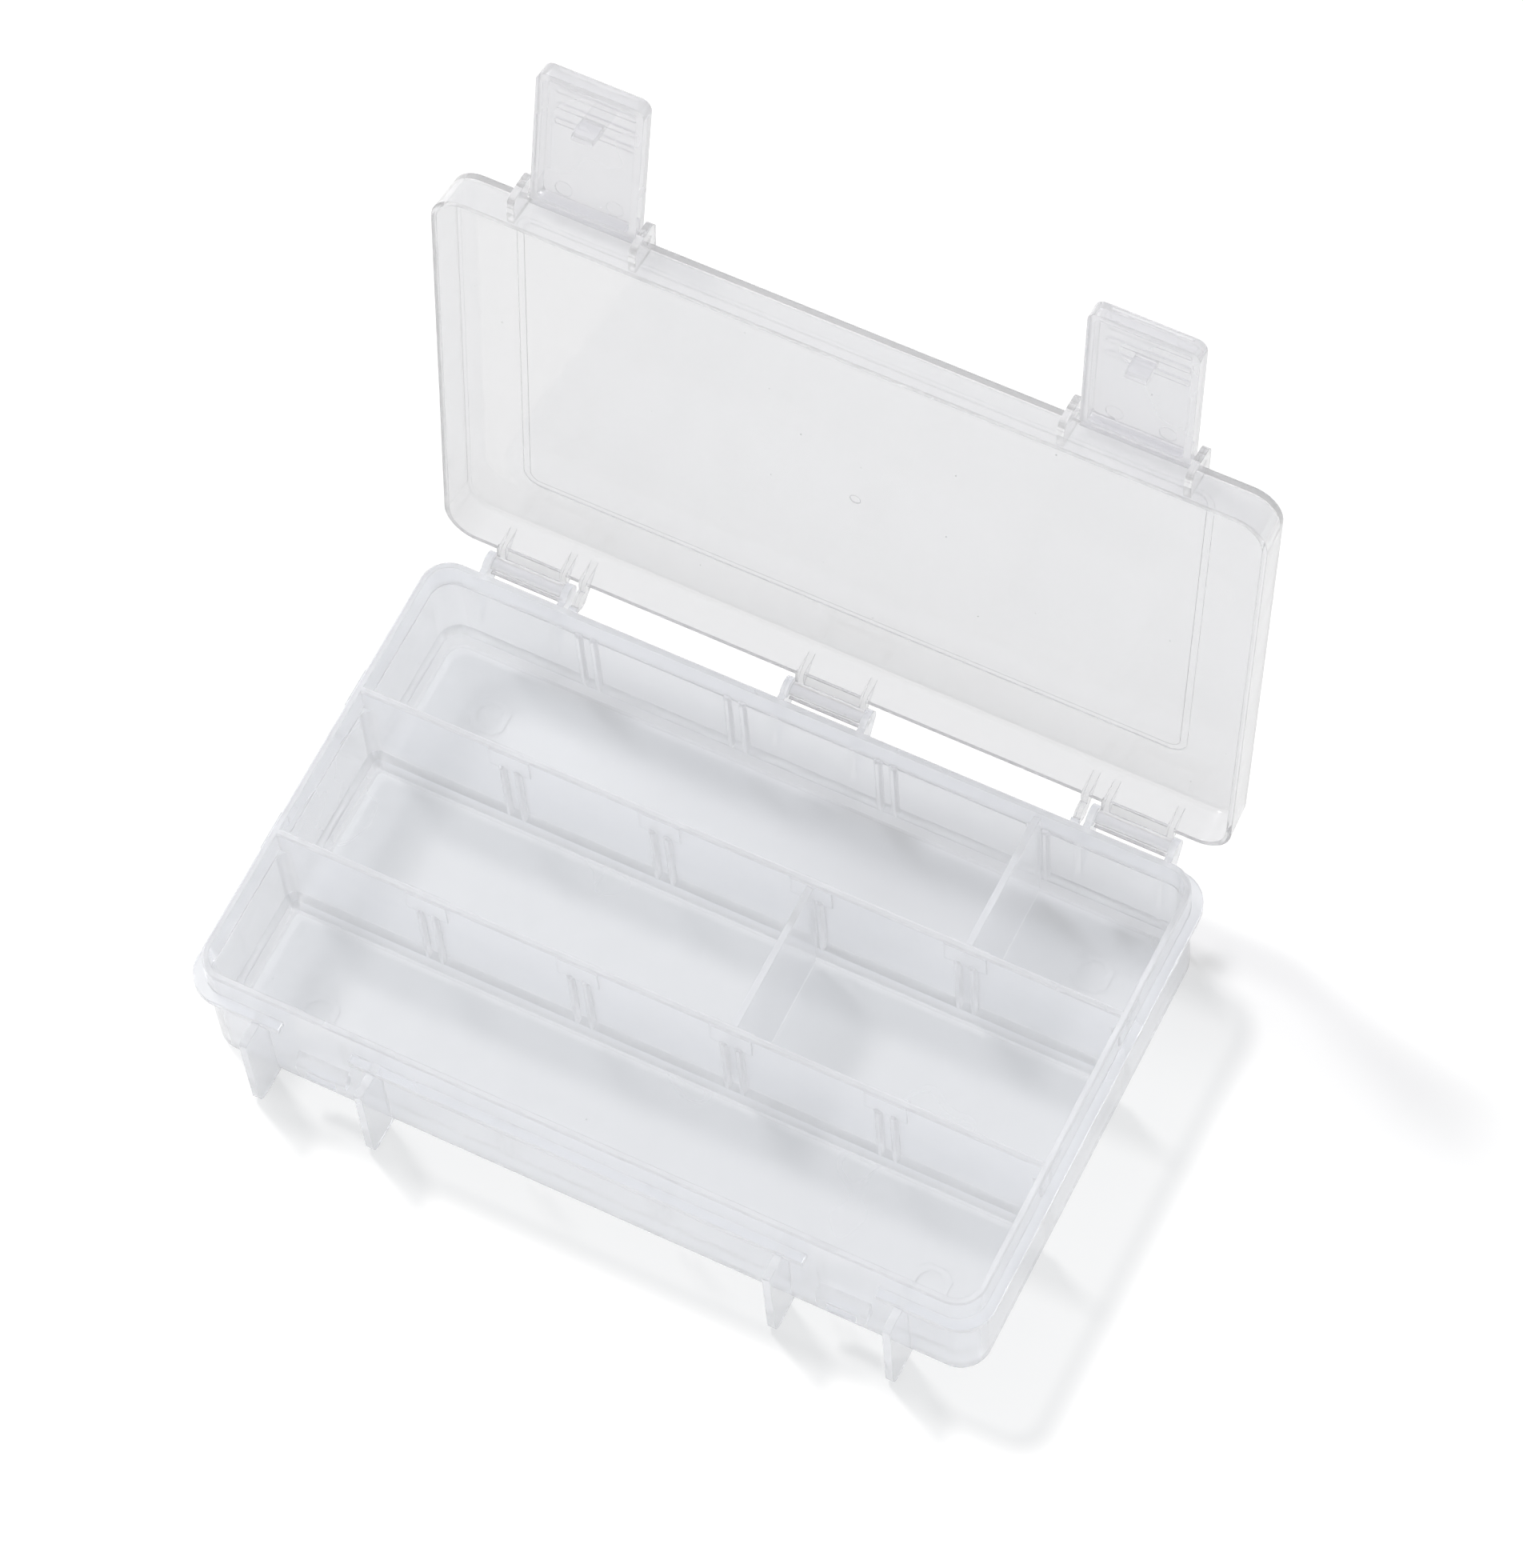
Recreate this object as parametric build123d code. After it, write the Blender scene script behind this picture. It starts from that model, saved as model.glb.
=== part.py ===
from build123d import *
import os
from math import asin, atan2, cos, degrees, hypot, radians, sin, sqrt

# Hinged storage box for small fishing gear, moulded in clear polypropylene.
# Six mouldings: a tray with two fixed walls, a lid that snaps onto three rods
# behind the tray, two latches that snap onto rods in front of the lid, and
# two dividers that drop into slots. Millimetres, +Z up, the origin at the
# centre of the tray's underside, +X along the length, +Y towards the hinges.
# Each moving piece is drawn where it lies with the box shut, then swung to
# the open position that the model stands in.

# Tray
length = 228.6  # over the flange
width = 140.2  # over the flange
flange_top = 35.3
flange_thick = 2.2
flange_radius = 9.7
ledge = 2.75  # flange beyond the wall's outer face
wall_thick = 2.1
wall_radius = 8.2  # upright corner, outer face
bottom_bevel = 1.9
bottom_bevel_side = 0.75  # a second bevel on each side of the first
floor_thick = 2.8
lip_height = 8.6  # lip above the flange
lip_thick = 1.85
lip_edge = 0.45  # bevel round the lip's top

# Rows inside the tray
row_wall_y = 23.1  # middle of each fixed lengthwise wall
row_wall_thick = 2.0
row_corner_radius = 3.0  # upright corner beside a fixed wall
step_top = 13.0  # the walls get thicker below this height
step_slope = 3.7  # height over which they do
step_depth = 1.0
floor_edge = 0.6  # bevel round each floor

# Slots for the dividers, a pair of eight-sided ribs on each long face
slot_pitch = 44.0
slots_each_side = 2
slot_gap = 2.2
rib_sides = 8
rib_width = 2.2  # over its flats; half of it stands out of the wall
rib_rise = 1.0  # rib top above the flange
rib_bevel = 0.5
wall_pad_length = 12.0  # thicker stretch of a fixed wall's top at each slot
wall_pad_thick = 0.3
lip_bulge_length = 12.0  # swell of the lip where a fixed wall meets an end
lip_bulge = 0.45
lip_bulge_bevel = 0.36
lip_bulge_height = 5.0
lip_bulge_drop = 1.0  # its top below the lip's top

# Marks on the tray's outside
end_panel_y = -54.0
end_panel_width = 14.0
end_panel_height = 19.0
end_panel_middle = 22.0
end_panel_depth = 0.35
end_panel_radius = 2.5
foot_from_end = 25.0  # the box's end to a foot mark's middle
foot_from_side = 21.5
foot_size = 10.4
foot_line = 1.6  # width of a foot mark's groove
foot_depth = 0.4
foot_bevel = 2.4

# Latch bay on the tray's front: two fins with a catch between them
latch_from_end = 39.2  # the box's end to a latch's middle
latch_width = 29.4
latch_fin_gap = 0.95
fin_thick = 2.3
fin_reach = 10.0  # beyond the wall's outer face
fin_drop = 1.3  # fin top below the flange top
fin_radius = 3.0
fin_top_radius = 1.0
notch_width = 20.4
catch_width = 14.7
catch_depth = 2.85
catch_bottom = 11.0
catch_face = 6.0
catch_top = 21.0
catch_radius = 4.0
window_width = 8.3  # of the catch's window for the lug
window_low = 12.4
window_high = 15.5

# Lid
lid_gap = 0.3  # between the flange and the lid's free edge
lid_height = 11.66
lid_wall = 1.5
lid_panel = 1.6
lid_draft = 0.67  # how far the wall leans in over the lid's height
lid_radius = 9.3
lid_edge_radius = 1.2
lid_inner_edge = 0.7  # bevel inside
groove_end = 19.4  # from each end to the middle of the groove
groove_back = 20.5  # from the hinge side to the middle of the groove
groove_front = 11.2
groove_width = 2.0
groove_depth = 0.45
groove_radius = 5.0
gate_radius = 1.5
gate_depth = 0.4

# Hinges: rods on the tray, open barrels on the lid
hinge_from_end = 25.8  # the box's end to an outer hinge's middle
hinge_reach = 5.3  # from the flange's edge to the rod
hinge_drop = 1.2  # rod below the flange top
hinge_rod_radius = 1.5
running_gap = 0.05  # round every rod
hinge_barrel_radius = 2.65
hinge_barrel_half = 10.3
hinge_end_gap = 0.3
mouth_share = 0.72  # width of a barrel's mouth over its rod's diameter
cut_past = 1.0  # how far a cut runs past the faces that it opens
base_ear_thick = 2.0
base_ear_radius = 3.2
base_gusset_foot = 17.5
lid_gusset_thick = 1.8
lid_gusset_inset = 0.3
lid_gusset_height = 8.2
stop_offset = 15.1  # from the hinge's middle to its stop
stop_thick = 2.0
stop_block_thick = 2.4
stop_block_out = 2.1  # beyond the flange's edge
stop_gap = 0.1
stop_face_low = 1.5  # below the hinge's axis, lid open
stop_face_high = 0.3
stop_root = 2.5  # half height of the heel where it leaves its disc
open_angle = 97.7

# Latches
latch_rod_out = 3.15  # from the lid's front edge to the rod
latch_rod_height = 8.9  # above the lid's free edge
latch_rod_radius = 1.3
latch_barrel_radius = 2.4
latch_length = 44.1  # rod to tip
latch_plate = 1.5
latch_flange = 2.0
latch_tip_radius = 3.0
latch_edge = 0.4  # bevel round the outer face
latch_pocket_radius = 1.5
latch_web = 0.9  # between the barrel's bore and the pocket
latch_tip_flange = 1.8
latch_ear_gap = 1.2
latch_ear_thick = 2.0
latch_ear_low = 0.6
latch_ear_out = 8.4
latch_ear_radius = 2.7
lug_width = 5.8
lug_thick = 2.1
lug_gap = 0.2  # between the lug and the window's top
lug_end_gap = 0.35
lug_bevel = 0.6
grip_count = 4
grip_pitch = 5.1
grip_first = 2.9  # from the tip to the middle of the first bar
grip_length = 22.0
grip_width = 1.8
grip_bevel = 0.5
grip_rise = 0.7
pin_marks = [(7.1, 4.8, 2.4), (8.7, 40.4, 1.5)]  # from the middle, from the rod, radius
pin_mark_depth = 0.2
pin_mark_sides = 12
left_latch_angle = 6.8  # beyond the plane of the lid
right_latch_angle = -0.7

# Dividers
divider_thick = 1.9
divider_top = 43.0
divider_end_gap = 0.4
divider_floor_gap = 0.3
divider_radius = 3.0
middle_divider_slot = 3  # counted from the left
back_divider_slot = 4

# Places that follow from the sizes above
lip_top = flange_top + lip_height
wall_length = length - 2 * ledge
wall_width = width - 2 * ledge
inner_length = wall_length - 2 * wall_thick
inner_width = wall_width - 2 * wall_thick
slot_xs = [
    side * (number + 0.5) * slot_pitch
    for side in (-1, 1)
    for number in range(slots_each_side)
]
outer_hinge = length / 2 - hinge_from_end
hinge_xs = [-outer_hinge, 0.0, outer_hinge]
stop_x = outer_hinge - stop_offset
stop_block_y = width / 2 + stop_block_out
hinge_y = width / 2 + hinge_reach
hinge_z = flange_top - hinge_drop
hinge_bore = hinge_rod_radius + running_gap
lid_edge = flange_top + lid_gap
lid_top = lid_edge + lid_height
latch_rod_y = -width / 2 - latch_rod_out
latch_rod_z = lid_edge + latch_rod_height
latch_bore = latch_rod_radius + running_gap
latch_x = length / 2 - latch_from_end
latch_bay = latch_width + 2 * latch_fin_gap
latch_ears = latch_width + 2 * latch_ear_gap
step_foot = step_top - step_slope
hinge_axis = Axis((0, hinge_y, hinge_z), (-1, 0, 0))
latch_axis = Axis((0, latch_rod_y, latch_rod_z), (-1, 0, 0))


def across(outline, start, thick):
    """A YZ outline made solid from x = start to x = start + thick."""
    return Pos(start, 0, 0) * extrude(Plane.YZ * outline, thick, dir=(1, 0, 0))


def rod(radius, start, reach, y, z):
    """A round bar along X from x = start, of length reach."""
    return across(Pos(y, z) * Circle(radius), start, reach)


def touch(y, z, radius, from_y, from_z, side):
    """Where a line from a point touches a circle, on the chosen side."""
    away = hypot(from_y - y, from_z - z)
    turn = atan2(from_z - z, from_y - y) + side * (radians(90) - asin(radius / away))
    return y + radius * cos(turn), z + radius * sin(turn)


def row_limits():
    """The rows as (low y, high y) between the faces of their walls."""
    wall = row_wall_thick / 2
    return [
        (-inner_width / 2, -row_wall_y - wall),
        (-row_wall_y + wall, row_wall_y - wall),
        (row_wall_y + wall, inner_width / 2),
    ]


def row_outline(low, high, inset):
    """The inside outline of a row, drawn in by inset all round."""
    outline = Pos(0, (low + high) / 2) * Rectangle(
        inner_length - 2 * inset, high - low - 2 * inset
    )
    between = (row_wall_y + inner_width / 2) / 2
    outer = [v for v in outline.vertices() if abs(v.Y) > between]
    if outer:
        outline = fillet(outer, wall_radius - wall_thick - inset)
    near = [v for v in outline.vertices() if abs(v.Y) < between]
    return fillet(near, row_corner_radius - inset)


def row_space(low, high):
    """The hollow of a row: narrow below the step, full width above it."""
    narrow = row_outline(low, high, step_depth)
    full = row_outline(low, high, 0)
    bottom = Pos(0, 0, floor_thick) * extrude(narrow, step_foot - floor_thick)
    bottom = chamfer(bottom.faces().sort_by(Axis.Z)[0].edges(), floor_edge)
    slope = loft([Pos(0, 0, step_foot) * narrow, Pos(0, 0, step_top) * full], ruled=True)
    top = Pos(0, 0, step_top) * extrude(full, flange_top - step_top)
    return bottom + slope + top


def slot_ys():
    """The y of each long face inside the tray."""
    return [y for limits in row_limits() for y in limits]


def slot_rib(x, y):
    """An eight-sided rib from the step's foot past the flange, half in the wall."""
    tall = flange_top + rib_rise - step_foot
    turn = 180 / rib_sides
    outline = RegularPolygon(rib_width / 2, rib_sides, major_radius=False, rotation=turn)
    rib = extrude(outline, tall)
    rib = chamfer(rib.faces().sort_by(Axis.Z)[-1].edges(), rib_bevel)
    return Pos(x, y, step_foot) * rib


def front_fin(x):
    """A fin beside the latch, square to the front wall."""
    back = -wall_width / 2 + wall_thick / 2
    front = -wall_width / 2 - fin_reach
    top = flange_top - fin_drop
    outline = Pos((back + front) / 2, top / 2) * Rectangle(back - front, top)
    foremost = outline.vertices().sort_by(Axis.X)[0:2].sort_by(Axis.Y)
    outline = fillet(foremost[0], fin_radius)
    outline = fillet(outline.vertices().sort_by(Axis.Y)[-2:].sort_by(Axis.X)[0], fin_top_radius)
    return across(outline, x - fin_thick / 2, fin_thick)


def catch(x):
    """The boss in a bay, sloped above, whose window takes the latch's lug."""
    face = -wall_width / 2
    inside = face + wall_thick / 2
    side = Polygon(
        (inside, catch_bottom),
        (face - catch_depth, catch_bottom),
        (face - catch_depth, catch_bottom + catch_face),
        (face, catch_top),
        (inside, catch_top),
        align=None,
    )
    front = Pos(x, (catch_bottom + catch_top) / 2) * Rectangle(
        catch_width, catch_top - catch_bottom
    )
    front = fillet(front.vertices().sort_by(Axis.Y)[0:2], catch_radius)
    boss = across(side, x - catch_width / 2, catch_width)
    boss &= extrude(Plane.XZ * front, width, both=True)
    window = Pos(x, face - catch_depth, (window_low + window_high) / 2) * Box(
        window_width, 2 * catch_depth, window_high - window_low
    )
    return boss - window


def base_ear(start):
    """An ear on the back wall, round over the rod, with its gusset."""
    face = wall_width / 2
    foot = touch(hinge_y, hinge_z, base_ear_radius, face, base_gusset_foot, 1)
    rise = flange_top - hinge_z
    outline = Polygon(
        (face - wall_thick / 2, base_gusset_foot),
        (face, base_gusset_foot),
        foot,
        (hinge_y, hinge_z),
        (hinge_y - sqrt(base_ear_radius**2 - rise**2), flange_top),
        (face - wall_thick / 2, flange_top),
        align=None,
    )
    outline += Pos(hinge_y, hinge_z) * Circle(base_ear_radius)
    return across(outline, start, base_ear_thick)


def tray():
    """The base: walls, flange, lip, rows, slots, fins, catches, hinges."""
    body = extrude(RectangleRounded(wall_length, wall_width, wall_radius), lip_top)
    body = chamfer(body.faces().sort_by(Axis.Z)[0].edges(), bottom_bevel)
    levels = body.edges().group_by(Axis.Z)
    body = chamfer(levels[0] + levels[2], bottom_bevel_side)
    body = chamfer(body.faces().sort_by(Axis.Z)[-1].edges(), lip_edge)
    flange = extrude(RectangleRounded(length, width, flange_radius), flange_thick)
    body += Pos(0, 0, flange_top - flange_thick) * flange
    for side in (-1, 1):
        notch = Box(notch_width, 2 * ledge, 2 * flange_thick)
        body -= Pos(side * latch_x, -width / 2, flange_top - flange_thick / 2) * notch
    # Swell outside the lip, in line with the fixed walls
    for side in (-1, 1):
        for y in (-row_wall_y, row_wall_y):
            swell = Box(2 * lip_bulge, lip_bulge_length, lip_bulge_height)
            swell = chamfer(swell.edges().filter_by(Axis.Z), lip_bulge_bevel)
            middle = lip_top - lip_bulge_drop - lip_bulge_height / 2
            body += Pos(side * wall_length / 2, y, middle) * swell
    # Hollows
    rows = [row_space(low, high) for low, high in row_limits()]
    lip_inner = Pos(0, 0, flange_top) * extrude(
        RectangleRounded(
            wall_length - 2 * lip_thick, wall_width - 2 * lip_thick, wall_radius - lip_thick
        ),
        lip_height,
    )
    body -= rows
    body -= lip_inner
    # Tops of the fixed walls, a little thicker at the slots
    upper = Pos(0, 0, flange_top + lip_height / 2) * Box(
        wall_length - lip_thick, row_wall_thick, lip_height
    )
    upper = chamfer(upper.faces().sort_by(Axis.Z)[-1].edges().filter_by(Axis.X), lip_edge)
    pads = [
        Pos(x, 0, flange_top + lip_height / 2 - lip_edge / 2)
        * Box(wall_pad_length, row_wall_thick + 2 * wall_pad_thick, lip_height - lip_edge)
        for x in slot_xs
    ]
    for y in (-row_wall_y, row_wall_y):
        body += Pos(0, y, 0) * upper
        body += [Pos(0, y, 0) * pad for pad in pads]
    # Slots
    rib_offset = (slot_gap + rib_width) / 2
    body += [
        slot_rib(x + offset, y)
        for x in slot_xs
        for offset in (-rib_offset, rib_offset)
        for y in slot_ys()
    ]
    # Latch bays
    for side in (-1, 1):
        body += catch(side * latch_x)
        for edge in (-1, 1):
            body += front_fin(side * latch_x + edge * (latch_bay + fin_thick) / 2)
    # Hinges
    ear_start = hinge_barrel_half + hinge_end_gap
    for x in hinge_xs:
        body += base_ear(x + ear_start)
        body += base_ear(x - ear_start - base_ear_thick)
        reach = 2 * ear_start + base_ear_thick
        body += rod(hinge_rod_radius, x - reach / 2, reach, hinge_y, hinge_z)
    for side in (-1, 1):
        block = Box(stop_block_thick, 2 * stop_block_out, flange_thick)
        body += Pos(side * stop_x, width / 2, flange_top - flange_thick / 2) * block
    # Shallow marks outside: a panel on one end and four feet underneath
    panel = Plane.YZ * Pos(end_panel_y, end_panel_middle) * RectangleRounded(
        end_panel_width, end_panel_height, end_panel_radius
    )
    body -= Pos(-wall_length / 2, 0, 0) * extrude(panel, end_panel_depth)
    outer, inner = (
        chamfer(Rectangle(size, size).vertices(), foot_bevel)
        for size in (foot_size, foot_size - 2 * foot_line)
    )
    ring = extrude(outer - inner, foot_depth)
    foot_x = length / 2 - foot_from_end
    foot_y = width / 2 - foot_from_side
    body -= [Pos(sx * foot_x, sy * foot_y, 0) * ring for sx in (-1, 1) for sy in (-1, 1)]
    return body


def open_barrel(x, half, outer, bore, rod_radius, y, z, mouth_angle):
    """The space to cut from a barrel: its bore and the mouth it snaps on by."""
    long = 2 * (half + cut_past)
    space = rod(bore, x - long / 2, long, y, z)
    mouth = Box(long, 2 * rod_radius * mouth_share, 2 * outer)
    mouth = Pos(0, 0, -outer) * mouth
    mouth = Pos(x, y, z) * Rot(mouth_angle, 0, 0) * mouth
    return space + mouth


def lid_gusset(start, thick):
    """The gusset between the lid's back wall and a barrel or a stop."""
    inside = width / 2 - (lid_wall + lid_draft) / 2
    high = lid_edge + lid_gusset_height
    lean = touch(hinge_y, hinge_z, hinge_barrel_radius, inside, high, -1)
    flat = sqrt(hinge_barrel_radius**2 - (lid_edge - hinge_z) ** 2)
    outline = Polygon(
        (inside, lid_edge),
        (hinge_y - flat, lid_edge),
        (hinge_y, hinge_z),
        lean,
        (inside, high),
        align=None,
    )
    return across(outline, start, thick)


def lid_web(start, long):
    """The web that joins a barrel to the lid's rim along its whole length."""
    inside = width / 2 - lid_wall / 2
    tall = hinge_z + hinge_barrel_radius - lid_edge
    outline = Pos((inside + hinge_y) / 2, lid_edge + tall / 2) * Rectangle(
        hinge_y - inside, tall
    )
    return across(outline, start, long)


def lid_stop(x):
    """A nub beside a hinge whose heel meets the tray's block, lid open."""
    face = hinge_y - stop_block_y - stop_gap
    heel = Polygon(
        (-face, -stop_face_low),
        (-face, stop_face_high),
        (0, stop_root),
        (0, -stop_root),
        align=None,
    )
    heel += Circle(hinge_barrel_radius)
    heel = Pos(hinge_y, hinge_z) * Rot(0, 0, open_angle) * heel
    start = x - stop_thick / 2
    return across(heel, start, stop_thick) + lid_gusset(start, stop_thick)


def latch_ear(start):
    """An ear on the lid's front wall that carries one end of a latch rod."""
    inside = -width / 2 + (lid_wall + lid_draft) / 2
    front = -width / 2 - latch_ear_out
    low = lid_edge + latch_ear_low
    outline = Pos((inside + front) / 2, (low + lid_top) / 2) * Rectangle(
        inside - front, lid_top - low
    )
    outline = fillet(outline.vertices().sort_by(Axis.X)[0:2], latch_ear_radius)
    return across(outline, start, latch_ear_thick)


def lid():
    """The lid: panel, leaning walls, groove, barrels, stops, latch ears."""
    lean = degrees(atan2(lid_draft, lid_height))
    body = extrude(RectangleRounded(length, width, lid_radius), lid_height, taper=lean)
    body = fillet(body.faces().sort_by(Axis.Z)[-1].edges(), lid_edge_radius)
    space = extrude(
        RectangleRounded(length - 2 * lid_wall, width - 2 * lid_wall, lid_radius - lid_wall),
        lid_height - lid_panel,
        taper=lean,
    )
    space = chamfer(space.faces().sort_by(Axis.Z)[-1].edges(), lid_inner_edge)
    body = Pos(0, 0, lid_edge) * (body - space)
    # Groove and gate mark in the panel
    back = width / 2 - groove_back
    front = -width / 2 + groove_front
    long = length - 2 * groove_end
    wide = back - front
    band = RectangleRounded(long + groove_width, wide + groove_width, groove_radius)
    band -= RectangleRounded(
        long - groove_width, wide - groove_width, groove_radius - groove_width
    )
    groove = extrude(band, groove_depth)
    body -= Pos(0, (back + front) / 2, lid_top - groove_depth) * groove
    body -= Pos(0, 0, lid_top) * Cylinder(gate_radius, 2 * gate_depth)
    # Hinge barrels
    for x in hinge_xs:
        half = hinge_barrel_half
        body += rod(hinge_barrel_radius, x - half, 2 * half, hinge_y, hinge_z)
        body += lid_web(x - half, 2 * half)
        body += lid_gusset(x - half + lid_gusset_inset, lid_gusset_thick)
        body += lid_gusset(x + half - lid_gusset_inset - lid_gusset_thick, lid_gusset_thick)
        body -= open_barrel(
            x, half, hinge_barrel_radius, hinge_bore, hinge_rod_radius, hinge_y, hinge_z, 0
        )
    for side in (-1, 1):
        body += lid_stop(side * stop_x)
    # Ears and rods for the latches
    for side in (-1, 1):
        x = side * latch_x
        body += latch_ear(x + latch_ears / 2)
        body += latch_ear(x - latch_ears / 2 - latch_ear_thick)
        reach = latch_ears + latch_ear_thick
        body += rod(latch_rod_radius, x - reach / 2, reach, latch_rod_y, latch_rod_z)
    return body


def latch(x):
    """A latch, shut: a flanged plate that hangs from its rod in front."""
    deep = 2 * latch_barrel_radius
    front = Pos(0, -latch_length / 2) * Rectangle(latch_width, latch_length)
    front = fillet(front.vertices().sort_by(Axis.Y)[0:2], latch_tip_radius)
    body = extrude(Plane.XZ * front, deep / 2, both=True)
    face = body.faces().sort_by(Axis.Y)[0]
    body = chamfer(face.edges().sort_by(Axis.Z)[:-1], latch_edge)
    body += rod(latch_barrel_radius, -latch_width / 2, latch_width, 0, 0)
    # Pocket behind the plate, open towards the tray
    high = -latch_bore - latch_web
    low = -latch_length + latch_tip_flange
    pocket = Pos(0, (high + low) / 2) * RectangleRounded(
        latch_width - 2 * latch_flange, high - low, latch_pocket_radius
    )
    pocket = Plane.XZ.offset(latch_barrel_radius - latch_plate) * pocket
    body -= extrude(pocket, -2 * deep)
    # The lug hooks under the top of the catch's window
    lug_top = window_high - lug_gap - latch_rod_z
    lug_reach = -wall_width / 2 - lug_end_gap - latch_rod_y
    root = -latch_barrel_radius + latch_plate / 2
    lug = Box(lug_width, lug_reach - root, lug_thick)
    lower_tip = lug.edges().filter_by(Axis.X).sort_by(Axis.Y)[-2:].sort_by(Axis.Z)[0]
    lug = chamfer(lower_tip, lug_bevel)
    body += Pos(0, (lug_reach + root) / 2, lug_top - lug_thick / 2) * lug
    # Bars for the finger, on the outer face
    for number in range(grip_count):
        height = -latch_length + grip_first + number * grip_pitch
        outline = Rectangle(grip_length, grip_width)
        outline = Pos(0, height) * chamfer(outline.vertices(), grip_bevel)
        bar = Plane.XZ.offset(latch_barrel_radius - latch_plate / 2) * outline
        body += extrude(bar, latch_plate / 2 + grip_rise)
    # Round marks on the inner face
    for across_x, down, radius in pin_marks:
        for side in (-1, 1):
            mark = Plane.XZ.offset(latch_barrel_radius - latch_plate) * Pos(side * across_x, -down)
            body -= extrude(mark * RegularPolygon(radius, pin_mark_sides), pin_mark_depth)
    body -= open_barrel(
        0, latch_width / 2, latch_barrel_radius, latch_bore, latch_rod_radius, 0, 0, 90
    )
    return Pos(x, latch_rod_y, latch_rod_z) * body


def divider(slot, low, high):
    """A plate that slides down between ribs, narrower below the walls' step."""
    bottom = floor_thick + divider_floor_gap
    left = low + divider_end_gap
    right = high - divider_end_gap
    outline = Polygon(
        (left, divider_top),
        (left, step_top + divider_end_gap),
        (left + step_depth, step_foot + divider_end_gap),
        (left + step_depth, bottom),
        (right - step_depth, bottom),
        (right - step_depth, step_foot + divider_end_gap),
        (right, step_top + divider_end_gap),
        (right, divider_top),
        align=None,
    )
    outline = fillet(outline.vertices().sort_by(Axis.Y)[:2], divider_radius)
    return across(outline, slot_xs[slot - 1] - divider_thick / 2, divider_thick)


def opened(piece):
    """A piece that rides on the lid, swung open with it."""
    return piece.rotate(hinge_axis, open_angle)


def latch_swing(angle):
    """A latch's turn from shut to its angle beyond the plane of the lid."""
    return 90 + angle


rows = row_limits()
pieces = {
    "base_tray": tray(),
    "lid": opened(lid()),
    "latch_left": opened(
        latch(-latch_x).rotate(latch_axis, latch_swing(left_latch_angle))
    ),
    "latch_right": opened(
        latch(latch_x).rotate(latch_axis, latch_swing(right_latch_angle))
    ),
    "divider_middle": divider(middle_divider_slot, *rows[1]),
    "divider_back": divider(back_divider_slot, *rows[2]),
}

os.makedirs("parts", exist_ok=True)
for name, piece in pieces.items():
    export_step(piece, f"parts/{name}.step")
    print(name, round(piece.volume, 1), "mm3")
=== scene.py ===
import bpy
import numpy as np
from mathutils import Matrix, Vector

# A hinged storage box for small fishing gear, moulded in clear polypropylene.
# It stands open and empty on a white table, seen from above its front right
# corner, with a soft lamp on the left. Lengths are in metres.

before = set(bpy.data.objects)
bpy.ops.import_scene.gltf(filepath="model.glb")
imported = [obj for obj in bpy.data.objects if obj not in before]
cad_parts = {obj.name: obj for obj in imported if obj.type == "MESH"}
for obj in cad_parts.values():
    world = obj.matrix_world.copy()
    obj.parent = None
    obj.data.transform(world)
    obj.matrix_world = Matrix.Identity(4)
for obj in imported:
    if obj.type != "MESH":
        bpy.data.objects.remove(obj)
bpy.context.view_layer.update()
scene = bpy.context.scene

# Skin and haze of the plastic, as scales of noise in its own coordinates
cloud_scale = 22.0  # clouds in the haze, about 45 mm across
cloud_sway = 0.015  # how far they move the share of light let through
speck_scale = 100.0  # specks of dark dust, some 10 mm apart
speck_core, speck_rim = 0.012, 0.02  # shares of that distance: specks of 0.3 mm
speck_colour = "#6d6f73"
wave_scale = 70.0  # waves of the shrunken skin, about 14 mm apart
wave_depth = 0.0005
polish_scale = 250.0  # the mould's polish, uneven over about 4 mm
polish_sway = 0.03  # how far it moves the roughness
edge_round = 0.00035  # every moulded edge is a little round
noise_low, noise_high = 0.3, 0.7  # the range that a noise mostly keeps to

# Table
table_reach = 4.0
table_drop = 0.0002  # below the box, so that their faces don't meet
fibre_scale = 1200.0  # fibres of the card, drawn 0.8 mm long to show

# Studio: brightness by the height that a ray looks at, from 0 to 1
wall_height, ceiling_height = 0.35, 0.7
wall_light, ceiling_light = 1.2, 0.35
mirrored_light = 0.55  # of the studio as its surfaces mirror it


def linear(colour):
    """An sRGB hex colour as linear RGB with full alpha."""
    share = np.array([int(colour[i : i + 2], 16) for i in (1, 3, 5)]) / 255
    share = np.where(share <= 0.04045, share / 12.92, ((share + 0.055) / 1.055) ** 2.4)
    return (*share.tolist(), 1.0)


def blank(block):
    """The emptied node tree of a material or a world."""
    block.use_nodes = True
    block.node_tree.nodes.clear()
    return block.node_tree


def add(tree, kind, inputs=None, **settings):
    """Adds a node with its settings, and its inputs as values or links."""
    made = tree.nodes.new("ShaderNode" + kind)
    for name, value in settings.items():
        setattr(made, name, value)
    for name, value in (inputs or {}).items():
        if isinstance(value, bpy.types.NodeSocket):
            tree.links.new(value, made.inputs[name])
        else:
            made.inputs[name].default_value = value
    return made


def spread(tree, value, start, end, low, high):
    """Turns a value's range from start to end into one from low to high."""
    return add(tree, "MapRange", {0: value, 1: start, 2: end, 3: low, 4: high}).outputs[0]


def blend(tree, share, first, second):
    """Mixes two colours; a share of 1 gives the second."""
    return add(tree, "Mix", {0: share, 6: first, 7: second}, data_type="RGBA").outputs[2]


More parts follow.
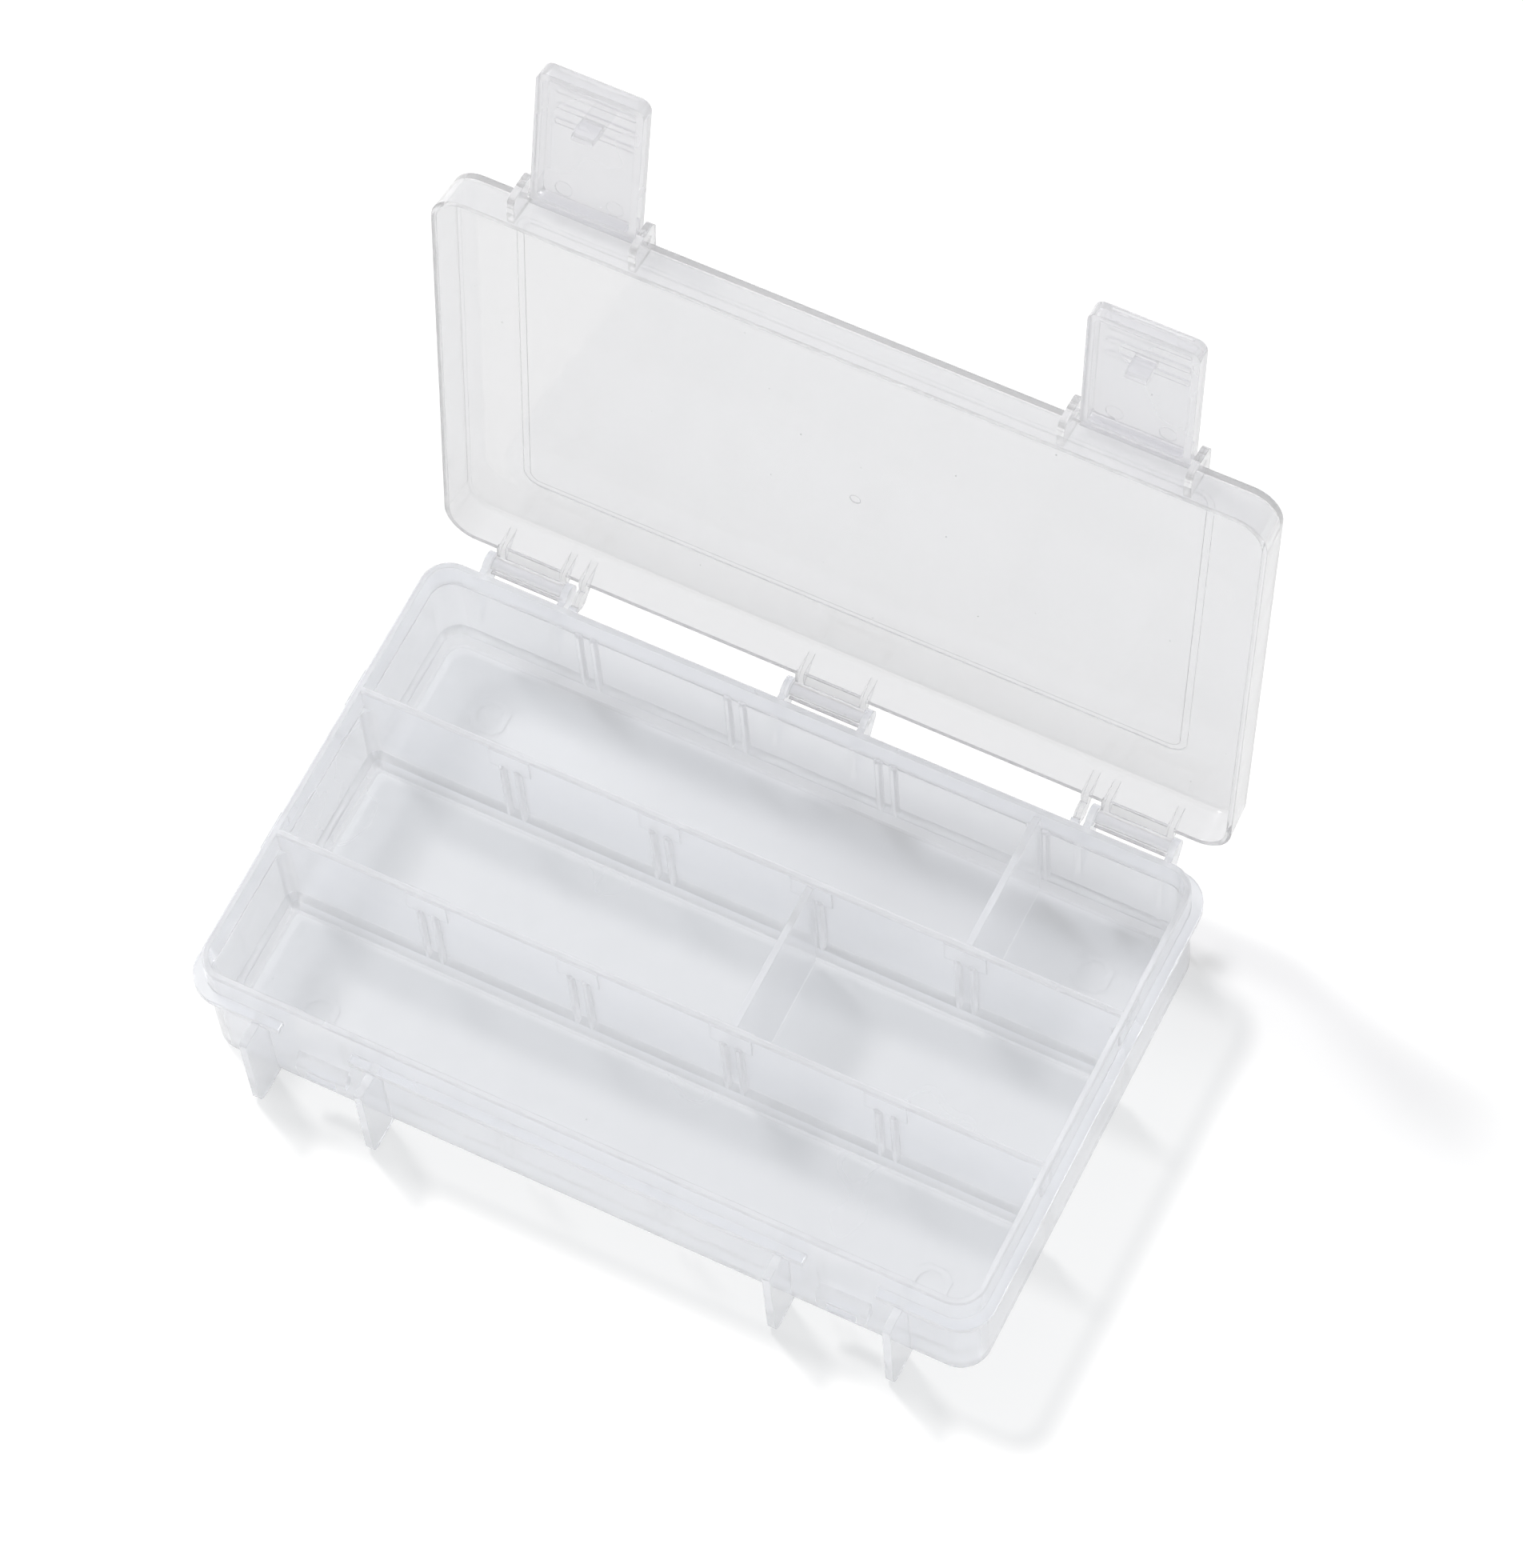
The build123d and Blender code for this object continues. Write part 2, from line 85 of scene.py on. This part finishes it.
def choose(tree, share, first, second):
    """Mixes two numbers; a share of 1 gives the second."""
    return add(tree, "Mix", {0: share, 2: first, 3: second}, data_type="FLOAT").outputs[0]


def reckon(tree, operation, first, second):
    """Two numbers added, subtracted or compared."""
    return add(tree, "Math", {0: first, 1: second}, operation=operation)


def moulded_polypropylene(name, colour, clear, veil, rough, through):
    """Clear polypropylene from a polished mould.

    Its fine crystals leave a milky haze of the given colour, so a share of it
    scatters light and the rest, clear, lets it through a little blurred. Seen
    along its surface it lets less through, by veil, and the haze drifts in
    slow clouds. Shallow waves from its shrinking and a few dark specks mark
    its skin. Light that has passed one face has the colour through.
    """
    made = bpy.data.materials.new(name)
    tree = blank(made)
    place = add(tree, "TexCoord").outputs["Object"]

    # Haze
    clouds = add(tree, "TexNoise", {"Vector": place, "Scale": cloud_scale, "Detail": 2.0})
    facing = add(tree, "LayerWeight", {"Blend": 0.35}).outputs["Facing"]
    share = spread(tree, facing, 0.25, 1.0, clear, clear - veil)
    drift = spread(tree, clouds.outputs["Fac"], noise_low, noise_high, -cloud_sway, cloud_sway)
    share = reckon(tree, "ADD", share, drift).outputs[0]

    # Dust under the skin
    dust = add(tree, "TexVoronoi", {"Vector": place, "Scale": speck_scale})
    speck = spread(tree, dust.outputs["Distance"], speck_core, speck_rim, 1.0, 0.0)
    tint = blend(tree, speck, linear(colour), linear(speck_colour))
    share = reckon(tree, "SUBTRACT", share, speck)
    share.use_clamp = True

    # Skin
    waves = add(tree, "TexNoise", {"Vector": place, "Scale": wave_scale, "Detail": 1.5})
    polish = add(tree, "TexNoise", {"Vector": place, "Scale": polish_scale, "Detail": 2.0})
    blur = spread(
        tree,
        polish.outputs["Fac"],
        noise_low,
        noise_high,
        rough - polish_sway,
        rough + polish_sway,
    )
    edge = add(tree, "Bevel", {"Radius": edge_round})
    skin = add(
        tree,
        "Bump",
        {
            "Strength": 0.3,
            "Distance": wave_depth,
            "Height": waves.outputs["Fac"],
            "Normal": edge.outputs["Normal"],
        },
    )
    body = add(
        tree,
        "BsdfPrincipled",
        {
            "Base Color": tint,
            "Roughness": blur,
            "IOR": 1.49,
            "Transmission Weight": share.outputs[0],
            "Coat Weight": 0.5,
            "Coat Roughness": 0.1,
            "Normal": skin.outputs["Normal"],
        },
    )

    # Lamps shine through it, dimmed at each face by the haze, and so does the
    # light between its walls, which the haze spreads and keeps
    path = add(tree, "LightPath").outputs
    passed = blend(tree, path["Is Diffuse Ray"], linear(through), linear("#ffffff"))
    straight = add(tree, "BsdfTransparent", {"Color": passed})
    shine = reckon(tree, "MAXIMUM", path["Is Shadow Ray"], path["Is Diffuse Ray"])
    mix = add(
        tree,
        "MixShader",
        {0: shine.outputs[0], 1: body.outputs[0], 2: straight.outputs[0]},
    )
    add(tree, "OutputMaterial", {"Surface": mix.outputs[0]})
    return made


# The four grades of plastic and the pieces made of them. The haze of each, one
# less what is let through, stays above a quarter or below it all over: the
# noise filter follows the first face above that and the things behind it
# below, and a border between the two would show as a line.
milky_white = {
    "colour": "#fafbfe",
    "clear": 0.72,
    "veil": 0.2,
    "rough": 0.11,
    "through": "#e8e9ea",
}
plastics = [
    # Moulded 2 to 3 mm thick: the milkiest, so that walls and edges read white
    ("polypropylene_tray", ["base_tray"], milky_white),
    # Moulded 1.5 mm thick in a finer mould: clear enough for its groove to draw
    # a crisp double line, and faintly grey against the white
    (
        "polypropylene_lid",
        ["lid"],
        {
            "colour": "#f8f8f9",
            "clear": 0.80,
            "veil": 0.03,
            "rough": 0.10,
            "through": "#f2f2f3",
        },
    ),
    # Small plates moulded 1.5 mm thick: milky and a shade greyer, so that the
    # bars on their far side show through as soft lines
    (
        "polypropylene_latch",
        ["latch_left", "latch_right"],
        {
            "colour": "#f3f3f5",
            "clear": 0.72,
            "veil": 0.2,
            "rough": 0.11,
            "through": "#eeeef0",
        },
    ),
    # The tray's plastic again: a divider reads as one more of its walls
    ("polypropylene_divider", ["divider_middle", "divider_back"], milky_white),
]
for name, pieces, look in plastics:
    plastic = moulded_polypropylene(name, **look)
    for piece in pieces:
        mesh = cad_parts[piece].data
        mesh.materials.clear()
        mesh.materials.append(plastic)

# Table: a sheet of uncoated white card, dull and a little fibrous, which the
# camera sees a shade lighter, so that it runs into the white of the background
card = bpy.data.materials.new("white_card")
tree = blank(card)
place = add(tree, "TexCoord").outputs["Object"]
fibres = add(tree, "TexNoise", {"Vector": place, "Scale": fibre_scale})
tone = blend(tree, fibres.outputs["Fac"], linear("#ededed"), linear("#f2f2f2"))
paper = add(tree, "BsdfDiffuse", {"Color": tone})
white = add(tree, "BsdfDiffuse", {"Color": (1.04, 1.04, 1.04, 1.0)})
path = add(tree, "LightPath").outputs
mix = add(
    tree,
    "MixShader",
    {0: path["Is Camera Ray"], 1: paper.outputs[0], 2: white.outputs[0]},
)
add(tree, "OutputMaterial", {"Surface": mix.outputs[0]})
corners = np.array([(-1, -1, 0), (1, -1, 0), (1, 1, 0), (-1, 1, 0)]) * table_reach
corners = corners - (0, 0, table_drop)
sheet = bpy.data.meshes.new("table")
sheet.from_pydata(corners.tolist(), [], [(0, 1, 2, 3)])
sheet.materials.append(card)
table = bpy.data.objects.new("table", sheet)
scene.collection.objects.link(table)

# World: a studio whose pale walls are brighter than its ceiling, and white
# where the camera meets it. Its reflections are held back, so that a lid seen
# along its surface keeps a tone.
world = bpy.data.worlds.new("studio")
scene.world = world
tree = blank(world)
way = add(tree, "SeparateXYZ", {0: add(tree, "TexCoord").outputs["Generated"]})
room = spread(
    tree, way.outputs["Z"], wall_height, ceiling_height, wall_light, ceiling_light
)
path = add(tree, "LightPath").outputs
room = choose(tree, path["Is Glossy Ray"], room, mirrored_light)
room = choose(tree, path["Is Camera Ray"], room, 1.0)
air = add(tree, "Background", {"Color": linear("#ffffff"), "Strength": room})
add(tree, "OutputWorld", {"Surface": air.outputs[0]})

# Lamp on the left, a little behind, whose shadow falls right and forwards
key = bpy.data.lights.new("key", "SUN")
key.energy = 1.75
key.angle = 0.15
lamp = bpy.data.objects.new("key", key)
lamp.rotation_mode = "QUATERNION"
lamp.rotation_quaternion = Vector((0.56, -0.3, -1.0)).to_track_quat("-Z", "Y")
scene.collection.objects.link(lamp)

# Camera at the photograph's place: its right, down and forward directions
right = (0.89290875, 0.44768124, -0.04791102)
down = (0.37901925, -0.80483796, -0.45670589)
ahead = (-0.24301927, 0.38963748, -0.88832667)
eye = (0.4088175, -0.616752, 1.5473315)
turn = np.eye(4)
turn[:3, 0] = right
turn[:3, 1] = np.negative(down)
turn[:3, 2] = np.negative(ahead)
turn[:3, 3] = eye
lens = bpy.data.cameras.new("camera")
lens.sensor_width = 36.0
lens.lens = 150.12
lens.clip_start, lens.clip_end = 0.1, 20.0
camera = bpy.data.objects.new("camera", lens)
camera.matrix_world = Matrix(turn.tolist())
scene.collection.objects.link(camera)
scene.camera = camera

scene.view_settings.view_transform = "Standard"
